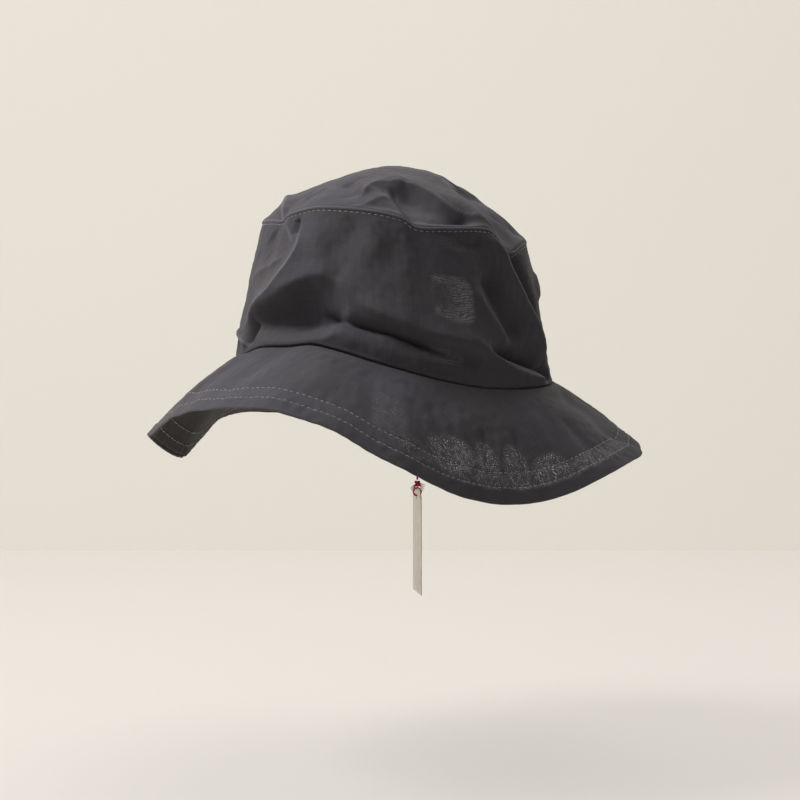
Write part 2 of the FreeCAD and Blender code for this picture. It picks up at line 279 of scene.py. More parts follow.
OPENING_HALF_WIDTH = 90.0
OPENING_HALF_LENGTH = 94.5
TIP_HALF_WIDTH = 74.0
TIP_HALF_LENGTH = 78.0
CROWN_PEAK = 114.0
SIDE_BULGE = 1.0
BRIM_WIDTH = 68.0
BRIM_ARCH = 3.0
SEAM_RISE = [(-110, 5), (-65, 6), (-48, 5), (-28, 12), (-13, 13), (-1, 14), (25, 3), (44, -5),
             (63, -9.5), (96, -10), (115, -9), (160, -4), (205, 1)]
TIP_RISE = [(-110, 83), (-65, 83), (-36, 82.6), (-28.5, 82.2), (-25, 85), (-19, 86.8), (-7, 89), (15, 87),
            (29, 83), (35, 78), (48, 77.5), (67, 77.5), (72, 75.5), (80, 67), (87, 65), (96, 68.5),
            (112, 72), (160, 77), (205, 82)]
BRIM_DROOP = [(-135, 32), (-112, 31.5), (-96, 46.5), (-80, 56), (-65, 43.5), (-48, 40), (-32, 35),
              (-15, 28), (5, 29), (25, 44.5), (45, 61), (65, 61), (85, 46), (115, 36.5),
              (160, 34), (205, 33)]
BRIM_REACH = [(-112, 1.02), (-80, 1.05), (-65, 0.99), (-50, 0.92), (-38, 0.91), (-15, 0.98),
              (5, 1.0), (45, 1.0), (115, 0.94), (205, 1.0)]
# How much the soft edge of the brim has stretched or drawn in
BRIM_EASE = [(-110, 7), (-97, 5.5), (-84, 2.6), (-65, 1.5), (-48, 1), (-25, 0), (0, -1.2), (14, -4.2),
             (26, -1), (45, 0.5), (70, 0.3), (86, -1), (98, -1.2), (108, 0.8), (135, 0), (170, 2),
             (205, 3.5), (232, 5)]

# Depth of each layer under the outside of the cloth, and how thick the cloth is drawn
CLOTH_THICKNESS = 0.4
LINING_DEPTH = 0.95
BAND_DEPTH = 1.75
LABEL_DEPTH = 2.6

# Thread rows
TIP_ROW_BELOW_SEAM = 2.5
BRIM_OUTER_ROW_INSET = 9.0
BRIM_INNER_ROW_INSET = 17.0
BACK_ROW_OFFSET = 2.0
STITCH_PITCH = 3.3
STITCH_LENGTH = 2.5
STITCH_RADIUS = 0.24
# How high the middle of a stitch lies over the cloth, as a share of its radius
STITCH_LIFT = 0.75


def ring(points):
    """Smooth closed curve through (bearing, value) points, as a function of an array of bearings."""
    points = sorted((bearing % 360.0, value) for bearing, value in points)
    at = np.array([p[0] for p in points])
    value = np.array([p[1] for p in points], float)
    ahead = (np.roll(at, -1) - at) % 360.0
    behind = np.roll(ahead, 1)
    slope = (np.roll(value, -1) - np.roll(value, 1)) / (ahead + behind)

    def value_at(bearing):
        bearing = np.asarray(bearing, float) % 360.0
        i = np.searchsorted(at, bearing, side="right") - 1
        k = (i + 1) % len(at)
        span = ahead[i]
        t = ((bearing - at[i]) % 360.0) / span
        start = (2 * t ** 3 - 3 * t ** 2 + 1) * value[i] + (t ** 3 - 2 * t ** 2 + t) * span * slope[i]
        end = (3 * t ** 2 - 2 * t ** 3) * value[k] + (t ** 3 - t ** 2) * span * slope[k]
        return start + end

    return value_at


seam_rise = ring(SEAM_RISE)
tip_rise = ring(TIP_RISE)
brim_droop = ring(BRIM_DROOP)
brim_reach = ring(BRIM_REACH)
brim_ease = ring(BRIM_EASE)


def outward(bearing):
    angle = np.radians(bearing)
    return np.stack([np.sin(angle), -np.cos(angle), np.zeros_like(angle)], axis=-1)


def upward(height):
    height = np.asarray(height, float)
    return np.stack([np.zeros_like(height), np.zeros_like(height), height], axis=-1)


def oval(bearing, half_width, half_length, height):
    way = outward(bearing)
    return way * np.array([half_width, half_length, 0]) + upward(height)


def side_height(bearing):
    return tip_rise(bearing) - seam_rise(bearing)


def side_smooth(bearing, height):
    """Crown side without folds, at a height above the brim seam."""
    share = (height / side_height(bearing))[..., None]
    low = oval(bearing, OPENING_HALF_WIDTH, OPENING_HALF_LENGTH, seam_rise(bearing))
    high = oval(bearing, TIP_HALF_WIDTH, TIP_HALF_LENGTH, tip_rise(bearing))
    bulge = SIDE_BULGE * np.sin(np.pi * np.clip(share, 0, 1))
    return low + (high - low) * share + outward(bearing) * bulge


def brim_width(bearing):
    return BRIM_WIDTH * brim_reach(bearing) + brim_ease(bearing)


def brim_smooth(bearing, distance):
    """Upper side of the brim without folds, at a distance out from the brim seam."""
    share = distance / brim_width(bearing)
    droop = np.radians(brim_droop(bearing))
    arch = BRIM_ARCH * np.sin(np.pi * np.clip(share, 0, 1))
    run = distance * np.cos(droop) + arch * np.sin(droop)
    rise = arch * np.cos(droop) - distance * np.sin(droop)
    seam = oval(bearing, OPENING_HALF_WIDTH, OPENING_HALF_LENGTH, seam_rise(bearing))
    return seam + outward(bearing) * run[..., None] + upward(rise)


def tip_smooth(bearing, share):
    """Top panel without folds; share is 0 in the middle and 1 at the tip seam."""
    height = CROWN_PEAK - share ** 2 * (CROWN_PEAK - tip_rise(bearing))
    return oval(bearing, TIP_HALF_WIDTH, TIP_HALF_LENGTH, 0) * share[..., None] + upward(height)


# ---------------------------------------------------------------- folds
# A fold is (kind, height, left width, right width, path), in millimetres. It runs along its path, and
# left and right are as seen by someone walking along it on the outside of the cloth. A soft fold has a
# round crest, a crisp one a sharp crest, and a pressed one a sharp crest with a painted highlight along
# it, where it would catch the light. A negative height is a valley.

SIDE_FOLDS = [
    # the wearer's right, from the top seam down to the brim
    ("pressed", 4.0, 9, 12, [(-14.5, 67), (-13.5, 60), (-12.5, 54), (-13.5, 49.5), (-16, 43), (-19.5, 36),
                             (-24, 29), (-30, 23.5), (-37, 19), (-45, 15)]),
    ("pressed", 2.0, 3, 3, [(-26, 71), (-20, 62), (-14, 54)]),
    ("soft", -2.4, 2.5, 2.5, [(-17.5, 70), (-15.5, 60)]),
    ("soft", -1.8, 6, 6, [(-36, 66), (-33, 56), (-30, 50)]),
    ("pressed", 1.8, 5, 6, [(-18, 50), (-27, 45), (-36, 45), (-43, 45), (-47, 40)]),
    ("pressed", 3.2, 4, 4, [(-54, 18), (-48, 13), (-42, 9), (-36, 3)]),
    ("crisp", -4.2, 4, 5, [(-32, 17), (-35, 11), (-38, 4)]),
    ("soft", -3.0, 5, 5, [(-56, 12), (-53, 6), (-50, 0)]),
    # the hollow at the front, under its overhanging edge
    ("soft", 3.8, 18, 7, [(-38, 17), (-30, 20.5), (-22, 25), (-16, 30), (-10, 34.5), (-4, 37), (2, 38),
                          (7, 37)]),
    ("crisp", 1.5, 9, 4, [(-21, 27), (-13, 32.5), (-6, 35.5), (0, 36.2), (5, 35.2)]),
    ("soft", 1.6, 5, 5, [(-28, 5), (-14, 5), (-4, 7), (4, 9), (14, 9), (26, 8.5), (44, 9), (58, 8)]),
    # soft upright dents above it
    ("soft", -2.1, 9, 7, [(13, 73), (8, 62), (4, 53), (-1, 44)]),
    ("soft", 1.1, 8, 9, [(22, 67), (17, 57), (11, 47)]),
    ("soft", -0.9, 7, 7, [(31, 70), (24, 58), (16, 46)]),
    ("soft", 0.9, 8, 8, [(-4, 66), (-6, 54), (-8, 46)]),
    # the long crease and ridge from the front round to the wearer's left
    ("crisp", -8.0, 3.2, 3.2, [(-5, 17.5), (3, 16.5), (11, 16.5), (18, 17), (25, 18), (31, 17.5),
                               (37, 16.5), (45, 15)]),
    ("soft", 2.2, 12, 5.5, [(4, 40), (10, 34), (16, 28.5), (23, 24), (29, 22.5), (36, 22.5)]),
    ("crisp", 4.4, 16, 5, [(8, 31), (16, 27.5), (24, 24.5), (34, 22.5), (44, 22.5), (54, 22), (60, 20.5),
                           (65, 17.5), (70, 13)]),
    ("pressed", 3.6, 10, 4, [(60, 20.5), (65, 17.5), (70, 13), (76, 9.5), (84, 6.5), (94, 3.5), (101, 1)]),
    ("crisp", -11.0, 9, 3, [(60, 23.5), (67, 19), (75, 16), (86, 12), (94, 7), (105, 1)]),
    ("soft", -6.2, 7, 8, [(64, 68), (67, 57), (70, 46), (76, 36), (83, 26)]),
    ("crisp", 2.2, 4, 8, [(56, 55), (61, 47), (65, 38), (69, 31), (76, 24)]),
    ("soft", -1.6, 3, 3, [(50, 77), (58, 77), (65, 79)]),
    ("pressed", 4.2, 4, 12, [(68, 90), (71.5, 83), (75, 75), (78, 66), (82, 57), (86, 49), (89, 42),
                             (93, 34), (98, 22), (104, 8)]),
    ("soft", -6.5, 6, 5, [(82, 80), (86, 70), (91, 58), (96, 46), (101, 34)]),
    ("soft", -4.2, 9, 9, [(112, 33), (115, 22), (116, 8)]),
    ("soft", 1.8, 10, 10, [(112, 62), (115, 48)]),
    # the back
    ("crisp", 3.2, 8, 8, [(138, 76), (146, 58), (158, 42), (172, 30), (188, 24)]),
    ("soft", -3.2, 8, 7, [(168, 17), (178, 17), (192, 21), (210, 28)]),
    ("crisp", 3.0, 9, 5, [(194, 14), (212, 20), (230, 34), (246, 54)]),
    ("soft", 2.8, 10, 10, [(214, 72), (220, 54), (222, 40)]),
    ("soft", -2.8, 9, 9, [(258, 66), (264, 48), (274, 34), (290, 24)]),
    ("crisp", 2.6, 6, 8, [(266, 78), (276, 62), (292, 48)]),
    ("crisp", -3.0, 5, 5, [(110, 46), (120, 36), (131, 30)]),
]
# Paths on the top panel are (x, y) as seen from above.
TIP_FOLDS = [
    ("pressed", 2.6, 14, 5, [(11, -56), (15, -50), (21, -43), (29, -37), (39, -36), (49, -36), (58, -32),
                           (65, -22), (72, -8)]),
    ("soft", -4.4, 8, 10, [(20, -52), (30, -49), (40, -47), (50, -44), (60, -37), (67, -28)]),
    ("crisp", -2.0, 3, 4, [(42, -58), (46.5, -54.5), (53.3, -47.1), (59, -38.9), (62.5, -32.1)]),
    ("crisp", -3.2, 5, 4, [(38, 2), (46, -3), (54, -6), (63, -8)]),
    ("soft", -4.6, 13, 13, [(30, 22), (40, 17), (50, 10), (60, 3)]),
    ("crisp", -3.0, 6, 6, [(20, -48), (26, -54), (32, -58), (38, -62), (45, -65)]),
    ("pressed", 2.1, 7, 5, [(11, -68), (12, -60), (13, -52), (17, -45)]),
    ("pressed", 2.1, 7, 4, [(4, -79), (12, -76), (17, -71), (21, -64), (25, -58)]),
    ("soft", -1.6, 4, 3, [(14, -78), (22, -75), (31, -71)]),
    ("pressed", 4.0, 8, 6, [(-52, -28), (-46, -42), (-40, -55), (-36, -68), (-34, -76)]),
    ("pressed", 1.4, 4, 4, [(-26, -63), (-20, -59), (-15, -53)]),
    ("soft", -2.2, 5, 5, [(-4, -52), (2, -60), (10, -70)]),
    ("soft", 1.8, 5, 5, [(2, -50), (8, -58), (14, -66)]),
    ("soft", -3.2, 11, 11, [(-46, 4), (-30, -10), (-12, -22)]),
    ("soft", -2.6, 10, 10, [(56, 14), (62, 22), (66, 32)]),
    ("crisp", 2.0, 9, 9, [(20, 30), (30, 44), (36, 60)]),
    ("soft", -2.8, 12, 12, [(-50, 12), (-34, 30), (-26, 50)]),
    ("crisp", 2.6, 9, 9, [(-14, 26), (0, 46), (2, 66)]),
]
BRIM_FOLDS = [
    ("crisp", 2.2, 6, 9, [(-36, 1), (-30, 14), (-27, 28), (-30, 45), (-36, 56)]),
    ("soft", -1.2, 8, 8, [(-14, 4), (-12, 24), (-14, 44)]),
    ("soft", 1.2, 9, 9, [(4, 2), (6, 22), (8, 44)]),
    ("soft", -1.3, 6, 6, [(18, 6), (20, 26), (21, 50)]),
    ("soft", 1.1, 5, 5, [(28, 10), (29, 30), (30, 56)]),
    ("soft", -1.5, 4, 4, [(36, 14), (38, 36), (39, 62)]),
    ("soft", 1.2, 4, 4, [(44, 16), (45, 38), (45, 60)]),
    ("soft", -1.5, 3, 3, [(52, 24), (51, 42), (50, 62)]),
    ("soft", 1.1, 3, 3, [(57, 26), (56, 44), (55, 62)]),
    ("soft", -1.5, 3, 3, [(63, 24), (62, 44), (61, 63)]),
    ("soft", 1.2, 5, 5, [(72, 14), (72, 36), (71, 62)]),
    ("soft", -1.4, 5, 5, [(83, 20), (84, 42), (84, 62)]),
    ("soft", -5.4, 26, 26, [(110, 2), (108, 28), (104, 56)]),
    ("soft", -1.4, 9, 9, [(122, 6), (124, 30), (126, 58)]),
    ("soft", 1.6, 9, 9, [(148, 6), (147, 30), (146, 60)]),
    ("soft", -1.6, 9, 9, [(170, 20), (168, 40), (167, 62)]),
    ("soft", 1.6, 9, 9, [(196, 10), (197, 34), (198, 62)]),
    ("soft", -1.4, 8, 8, [(222, 12), (221, 36), (221, 62)]),
    ("soft", 1.4, 7, 7, [(246, 8), (247, 34), (248, 60)]),
    ("crisp", -1.6, 5, 5, [(262, 4), (263, 24), (264, 40)]),
]


def smooth_path(points, steps=10):
    """A Catmull-Rom line through the points."""
    points = np.array(points, float)
    padded = np.vstack([2 * points[0] - points[1], points, 2 * points[-1] - points[-2]])
    t = np.linspace(0, 1, steps, endpoint=False)[:, None]
    line = []
    for a, b, c, d in zip(padded, padded[1:], padded[2:], padded[3:]):
        line.append(0.5 * (2 * b + (c - a) * t + (2 * a - 5 * b + 4 * c - d) * t ** 2
                           + (3 * b - a - 3 * c + d) * t ** 3))
    return np.vstack(line + [points[-1:]])


# How far along a fold it rises from its ends, as a share of its length, and how high it is at the ends
FOLD_TAPER = 0.22
FOLD_END_SHARE = 0.15
CREST_ROUNDING = 0.7
CREST_STEEPNESS = 1.6
# Half width of the painted highlight along a pressed fold's crest, and the fold height at which it is full
CREST_HALF_WIDTH = 0.65
FULL_HIGHLIGHT_HEIGHT = 4.0


def along_fold(place, line):
    """Signed distance of each place from a fold's line, and how fully formed the fold is there."""
    starts, ends = line[:-1], line[1:]
    runs = ends - starts
    lengths = np.linalg.norm(runs, axis=1)
    along = np.concatenate([[0], np.cumsum(lengths)])
    nearest = np.full(place.shape[:-1], np.inf)
    signed = np.zeros(place.shape[:-1])
    share = np.zeros(place.shape[:-1])
    for i in range(len(runs)):
        offset = place - starts[i]
        t = np.clip((offset @ runs[i]) / lengths[i] ** 2, 0, 1)
        gap = offset - t[..., None] * runs[i]
        distance = np.hypot(gap[..., 0], gap[..., 1])
        turn = runs[i, 0] * gap[..., 1] - runs[i, 1] * gap[..., 0]
        better = distance < nearest
        nearest = np.where(better, distance, nearest)
        signed = np.where(better, np.where(turn >= 0, distance, -distance), signed)
        share = np.where(better, (along[i] + t * lengths[i]) / along[-1], share)
    end = np.clip(np.minimum(share, 1 - share) / FOLD_TAPER, 0, 1)
    return signed, FOLD_END_SHARE + (1 - FOLD_END_SHARE) * end * end * (3 - 2 * end)


def fold_height(place, kind, height, left, right, line):
    """Height of one fold at each place, which is (..., 2) in the same plane as the line."""
    signed, formed = along_fold(place, line)
    scaled = np.where(signed >= 0, signed / left, -signed / right)
    if kind != "soft":
        blunt = CREST_ROUNDING / min(left, right)
        profile = np.exp(-CREST_STEEPNESS * (np.sqrt(scaled ** 2 + blunt ** 2) - blunt))
    else:
        profile = np.exp(-scaled ** 2)
    return height * formed * profile


def painted_crest_highlight(place, kind, height, left, right, line):
    """Painted highlight along the crest of a pressed fold, where its sharp crest would catch the light."""
    if kind != "pressed":
        return np.zeros(place.shape[:-1])
    signed, formed = along_fold(place, line)
    highlight_strength = min(1.0, height / FULL_HIGHLIGHT_HEIGHT)
    return highlight_strength * formed * np.exp(-(signed / CREST_HALF_WIDTH) ** 2)


def all_folds(place, folds, to_plane, measure=fold_height):
    total = np.zeros(place.shape[:-1])
    for kind, height, left, right, path in folds:
        line = to_plane(smooth_path(path))
        reach = 4 * max(left, right)
        low, high = line.min(axis=0) - reach, line.max(axis=0) + reach
        inside = np.all((place > low) & (place < high), axis=-1)
        if inside.any():
            total[inside] += measure(place[inside], kind, height, left, right, line)
    return total


def wavy(place, wavelength, seed):
    """Smooth random waves with about that wavelength, from a fixed seed, between about -1 and 1."""
    random = np.random.default_rng(seed)
    total = np.zeros(place.shape[:-1])
    for i in range(9):
        angle = random.uniform(0, 2 * math.pi)
        number = 2 * math.pi / wavelength * random.uniform(0.7, 1.4)
        total += np.sin(number * (place[..., 0] * math.cos(angle) + place[..., 1] * math.sin(angle))
                        + random.uniform(0, 2 * math.pi))
    return total / 4


def step_up(value, low, high):
    t = np.clip((value - low) / (high - low), 0, 1)
    return t * t * (3 - 2 * t)


# The hollow at the front of the crown: (bearing, height of its floor, height of its edge, depth)
HOLLOW = [(-37, 16, 19, 0), (-30, 14.5, 21.5, 3.5), (-24, 13.5, 24.5, 7), (-18, 13, 29, 10.5),
          (-12, 13, 33, 13), (-6, 13, 35.5, 13.5), (-1.5, 13.5, 36.5, 12), (2, 15.5, 36, 9),
          (5, 19, 34.5, 5.5), (10, 25, 31, 0)]
HOLLOW_EDGE_ROUNDING = 0.02
HOLLOW_RETURN = 12.0


def hollow_depth(bearing, height):
    """A straight slope from the hollow's edge down to its floor, then a short return below it."""
    line = smooth_path(HOLLOW, 6)
    floor, edge, depth = (np.interp(bearing, line[:, 0], line[:, k], left=0, right=0) for k in (1, 2, 3))
    share = (edge - height) / np.maximum(edge - floor, 1)
    slope = (share + np.sqrt(share ** 2 + HOLLOW_EDGE_ROUNDING ** 2)) / 2
    return depth * np.minimum(slope, 1) * (1 - step_up(floor - height, -0.5, HOLLOW_RETURN))


# The crown side's flat cut is drawn on a drum of this radius
SIDE_RADIUS = 86.0
# How far the crown side tucks in at the brim seam, and bulges at the top seam
SIDE_TUCK = 1.7
TIP_ROLL = 0.5
# How deep a row of thread sinks into the cloth, and half the width of its groove
CROWN_ROW_SINK = 0.35
BRIM_ROW_SINK = 0.3
ROW_GROOVE = 0.5
# The brim's circumference, in the middle, is that of a circle of this radius
BRIM_RADIUS = 150.0


def unrolled(line):
    """(bearing, height) to the crown side's flat cut."""
    return np.stack([np.radians(line[..., 0]) * SIDE_RADIUS, line[..., 1]], axis=-1)


def crown_bearing(bearing):
    """The bearing as the fold lists write it, from -70 to 290."""
    return (bearing + 70.0) % 360.0 - 70.0


def side_relief(bearing, height):
    """How far the folded crown side stands out from the smooth one."""
    place = unrolled(np.stack([crown_bearing(bearing), height], axis=-1))
    below_seam = side_height(bearing) - height
    fade = step_up(below_seam, 0, 7)
    waves = 0.32 * wavy(place * [1, 0.8], 24, 1) + 0.12 * wavy(place, 7, 2)
    relief = (all_folds(place, SIDE_FOLDS, unrolled) + waves) * fade
    relief -= hollow_depth(crown_bearing(bearing), height)
    relief += TIP_ROLL * np.exp(-((below_seam - 1.3) / 1.2) ** 2)
    relief -= CROWN_ROW_SINK * np.exp(-((below_seam - TIP_ROW_BELOW_SEAM) / ROW_GROOVE) ** 2)
    relief = relief * step_up(height, -1, 5) - SIDE_TUCK * (1 - step_up(height, -0.4, 1.3))
    return relief


def brim_plane(line):
    """(bearing, distance) to the brim's flat cut."""
    radius = OPENING_HALF_WIDTH + 2 + 0.8 * line[..., 1]
    angle = np.radians(line[..., 0])
    return np.stack([radius * np.sin(angle), -radius * np.cos(angle)], axis=-1)


PUCKERS_FROM, PUCKERS_TO = -118.0, -60.0
PUCKER_PITCH = 7.0
PUCKER_HEIGHT = 0.75
PUCKER_INSET = 4.0
PUCKER_REACH = 6.0


def hem_puckers(bearing, from_edge):
    """Gathers of the hem where the brim curls under on the wearer's right."""
    signed = (bearing + 180.0) % 360.0 - 180.0
    zone = step_up(signed, PUCKERS_FROM, PUCKERS_FROM + 12)
    zone = zone * (1 - step_up(signed, PUCKERS_TO - 10, PUCKERS_TO))
    along = np.radians(signed) * BRIM_RADIUS * 2 * math.pi / PUCKER_PITCH
    gathers = np.sin(along + 1.3 * np.sin(along * 0.31)) * (0.6 + 0.4 * np.sin(along * 0.23 + 1))
    return PUCKER_HEIGHT * gathers * zone * np.exp(-((from_edge - PUCKER_INSET) / PUCKER_REACH) ** 2)


HEM_RAISE = 0.35
# The cloth gathers a little along the brim's rows
ROW_GATHER = 0.12
ROW_GATHER_PITCH = 9.0
ROW_GATHER_REACH = 3.0


def brim_relief(bearing, distance):
    """How far the folded brim stands up from the smooth one."""
    place = brim_plane(np.stack([bearing, distance], axis=-1))
    from_edge = brim_width(bearing) - distance
    relief = all_folds(place, BRIM_FOLDS, brim_plane)
    relief += 0.4 * wavy(place, 26, 3) + 0.12 * wavy(place, 7, 4)
    relief *= step_up(distance, -1, 10)
    relief += HEM_RAISE * (1 - step_up(from_edge, BRIM_OUTER_ROW_INSET - 0.6, BRIM_OUTER_ROW_INSET + 0.4))
    for inset in (BRIM_OUTER_ROW_INSET, BRIM_INNER_ROW_INSET):
        relief -= BRIM_ROW_SINK * np.exp(-((from_edge - inset) / ROW_GROOVE) ** 2)
        along = np.radians(bearing) * BRIM_RADIUS * 2 * math.pi / ROW_GATHER_PITCH
        relief += ROW_GATHER * np.sin(along + inset) * np.exp(-((from_edge - inset) / ROW_GATHER_REACH) ** 2)
    relief += hem_puckers(bearing, from_edge)
    return relief - 1.1 * (1 - step_up(distance, -0.4, 0.9))


def tip_relief(bearing, share):
    """How far the folded top panel stands up from the smooth one."""
    place = oval(bearing, TIP_HALF_WIDTH, TIP_HALF_LENGTH, 0)[..., :2] * share[..., None]
    from_seam = (1 - share) * (TIP_HALF_WIDTH + TIP_HALF_LENGTH) / 2
    relief = all_folds(place, TIP_FOLDS, lambda line: line)
    relief += 0.5 * wavy(place, 30, 5) + 0.14 * wavy(place, 8, 6)
    return relief * step_up(from_seam, 0, 5) + 0.3 * np.exp(-((from_seam - 1.2) / 1.0) ** 2)


def normals(points):
    """Unit normals of a grid of points."""
    cross = np.cross(np.gradient(points, axis=0), np.gradient(points, axis=1))
    return cross / np.maximum(np.linalg.norm(cross, axis=-1, keepdims=True), 1e-9)


def raised(smooth, relief, u, v, side):
    """The smooth surface moved along its own normal by a relief, as a grid of points."""
    points = smooth(u, v)
    return points + normals(points) * (side * relief(u, v))[..., None]


def crowded(rows):
    """Shares from 0 to 1 that lie closer together near both ends."""
    share = np.linspace(0, 1, rows)
    return share - 0.115 * np.sin(2 * np.pi * share)


def side_grid(columns, low, high, rows, depth=0.0, start=-180.0, end=180.0):
    """Folded crown side at a depth; low and high are heights, or functions of the bearing."""
    bearing = np.linspace(start, end, columns)
    bottom = low(bearing) if callable(low) else np.full(columns, float(low))
    top = high(bearing) if callable(high) else np.full(columns, float(high))
    share = crowded(rows)
    height = bottom[:, None] + (top - bottom)[:, None] * share
    bearing = np.repeat(bearing[:, None], rows, axis=1)
    points = raised(side_smooth, side_relief, bearing, height, 1)
    points = points - normals(points) * depth
    return points, bearing, height


def brim_grid(columns, low, past_edge, rows, depth=0.0, start=-180.0, end=180.0):
    """Folded brim at a depth, from a distance out from the seam to past_edge beyond its edge."""
    bearing = np.linspace(start, end, columns)
    share = crowded(rows)
    distance = low + (brim_width(bearing) + past_edge - low)[:, None] * share
    bearing = np.repeat(bearing[:, None], rows, axis=1)
    points = raised(brim_smooth, brim_relief, bearing, distance, -1)
    points = points + normals(points) * depth
    return points, bearing, distance


# ---------------------------------------------------------------- meshes


def make_mesh(name, points, faces, material, slot_name, body="hat"):
    mesh = bpy.data.meshes.new(name)
    mesh.from_pydata((np.asarray(points) * MM).tolist(), [], faces)
    mesh.update()
    mesh.polygons.foreach_set("use_smooth", [True] * len(mesh.polygons))
    mesh.materials.append(material)
    piece = bpy.data.objects.new(name, mesh)
    scene.collection.objects.link(piece)
    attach(piece, body)
    return piece


def grid_faces(columns, rows):
    index = np.arange(columns * rows).reshape(columns, rows)
    quads = np.stack([index[:-1, :-1], index[1:, :-1], index[1:, 1:], index[:-1, 1:]], axis=-1)
    return quads.reshape(-1, 4).tolist()


def set_cut(piece, cut):
    """UV map "cut": the place of each point on the flat cut of the cloth, in millimetres."""
    mesh = piece.data
    layer = mesh.uv_layers.new(name="cut")
    corner_points = np.zeros(len(mesh.loops), np.int32)
    mesh.loops.foreach_get("vertex_index", corner_points)
    layer.data.foreach_set("uv", np.asarray(cut)[corner_points].astype(np.float32).ravel())


def set_attribute(piece, name, values):
    attribute = piece.data.attributes.new(name, "FLOAT", "POINT")
    attribute.data.foreach_set("value", np.asarray(values, np.float32).ravel())


def thicken(piece, thickness, offset=-1.0):
    solidify = piece.modifiers.new("thickness", "SOLIDIFY")
    solidify.thickness = thickness * MM
    solidify.offset = offset
    solidify.use_quality_normals = True


def flip(faces):
    return [face[::-1] for face in faces]


def side_sheet(name, points, bearing, height, material, slot_name):
    """A mesh on a grid of the crown side, with its flat cut."""
    piece = make_mesh(name, points.reshape(-1, 3), grid_faces(*bearing.shape), material, slot_name)
    cut = unrolled(np.stack([bearing, height], axis=-1))
    set_cut(piece, cut.reshape(-1, 2))
    return piece, cut


def brim_sheet(name, points, bearing, distance, material):
    """A mesh on a grid of the brim, with its flat cut."""
    piece = make_mesh(name, points.reshape(-1, 3), flip(grid_faces(*bearing.shape)), material, "cloth")
    set_cut(piece, brim_plane(np.stack([bearing, distance], axis=-1)).reshape(-1, 2))
    return piece


def oval_patch(x, y, centre, half, power=2.0):
    """1 inside an oval, falling smoothly to 0 at its rim. A higher power gives it squarer corners."""
    away = (np.abs((x - centre[0]) / half[0]) ** power + np.abs((y - centre[1]) / half[1]) ** power)
    return 1 - step_up(away, 0.35, 1.0)


def strongest_patch(x, y, patches):
    """The strongest of several oval patches: (centre, half sizes, power, strength)."""
    glint = np.zeros_like(x)
    for centre, half, power, strength in patches:
        glint = np.maximum(glint, strength * oval_patch(x, y, centre, half, power))
    return glint


# How pale the cloth is rubbed at the top seam's edge, and how bright the painted highlight is along the
# crests of pressed folds
EDGE_RUB = 0.4
CREST_HIGHLIGHT = 0.8
SIDE_COLUMNS = 841
SIDE_ROWS = 100
# How far the crown side and the brim's upper cloth run past the brim seam, into it
SEAM_ALLOWANCE = 1.2
# Where pale light comes through the crown side: (bearing, height), half sizes, power, strength
CROWN_GLINTS = (((47, 54), (8, 2.6), 3.0, 0.7), ((48, 37), (8, 3.6), 3.0, 0.75),
                ((42, 13), (10, 5), 2.0, 0.3), ((50, 75), (8, 4), 2.0, 0.16), ((30, 44), (14, 12), 2.0, 0.06))


def make_crown_side(material):
    points, bearing, height = side_grid(SIDE_COLUMNS, -SEAM_ALLOWANCE, side_height, SIDE_ROWS)
    piece, cut = side_sheet("crown_side_cloth", points, bearing, height, material, "cloth")
    square = oval_patch(bearing, height, (47.5, 45), (9.6, 13.5), 4.0)
    square = square * (0.12 + 0.88 * step_up(bearing, 42, 52))
    set_attribute(piece, "glint", np.maximum(square, strongest_patch(bearing, height, CROWN_GLINTS)))
    below_seam = side_height(bearing) - height
    # Painted highlight along the crests of pressed folds, and the rubbed paler edge at the top seam
    crest_highlights = all_folds(cut, SIDE_FOLDS, unrolled, painted_crest_highlight) * step_up(below_seam, 2, 6)
    edge = np.exp(-((below_seam - 0.4) / 0.6) ** 2)
    set_attribute(piece, "rub_and_crest_highlight", np.clip(EDGE_RUB * edge + CREST_HIGHLIGHT * crest_highlights, 0, 1))
    thicken(piece, CLOTH_THICKNESS)
    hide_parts("crown_side")


TIP_COLUMNS = 641
TIP_ROWS = 70


def make_tip(name, columns, rows, depth, material, slot_name, node):
    """Top panel at a depth, with one small face that closes the middle of its grid."""
    bearing, share = np.meshgrid(np.linspace(-180, 180, columns), np.linspace(0.004, 1, rows), indexing="ij")
    points = raised(tip_smooth, tip_relief, bearing, share, -1)
    points = points + normals(points) * depth
    cut = oval(bearing, TIP_HALF_WIDTH, TIP_HALF_LENGTH, 0)[..., :2] * share[..., None]
    faces = flip(grid_faces(columns, rows))
    faces += [tuple(np.arange(columns - 1) * rows)]
    piece = make_mesh(name, points.reshape(-1, 3), faces, material, slot_name)
    set_cut(piece, cut.reshape(-1, 2))
    set_attribute(piece, "glint", 0.1 * oval_patch(cut[..., 0], cut[..., 1], (50, -50), (9, 9)))
    # Painted highlight along the crests of pressed folds, and the rubbed paler edge at the top seam
    crest_highlights = all_folds(cut, TIP_FOLDS, lambda line: line, painted_crest_highlight)
    edge = np.exp(-((1 - share) / 0.008) ** 2)
    set_attribute(piece, "rub_and_crest_highlight", np.clip(EDGE_RUB * edge + CREST_HIGHLIGHT * crest_highlights, 0, 1))
    thicken(piece, CLOTH_THICKNESS)
    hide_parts(node)


BRIM_COLUMNS = 801
BRIM_ROWS = 84
UNDER_ROWS = 64
# The brim's upper cloth turns round its edge in a half circle of this radius and then runs back under it
EDGE_RADIUS = 0.62
EDGE_STEPS = 5
EDGE_TURN_UNDER = 1.2
# How far the facing ends inside the edge
UNDER_INSET = 2.2
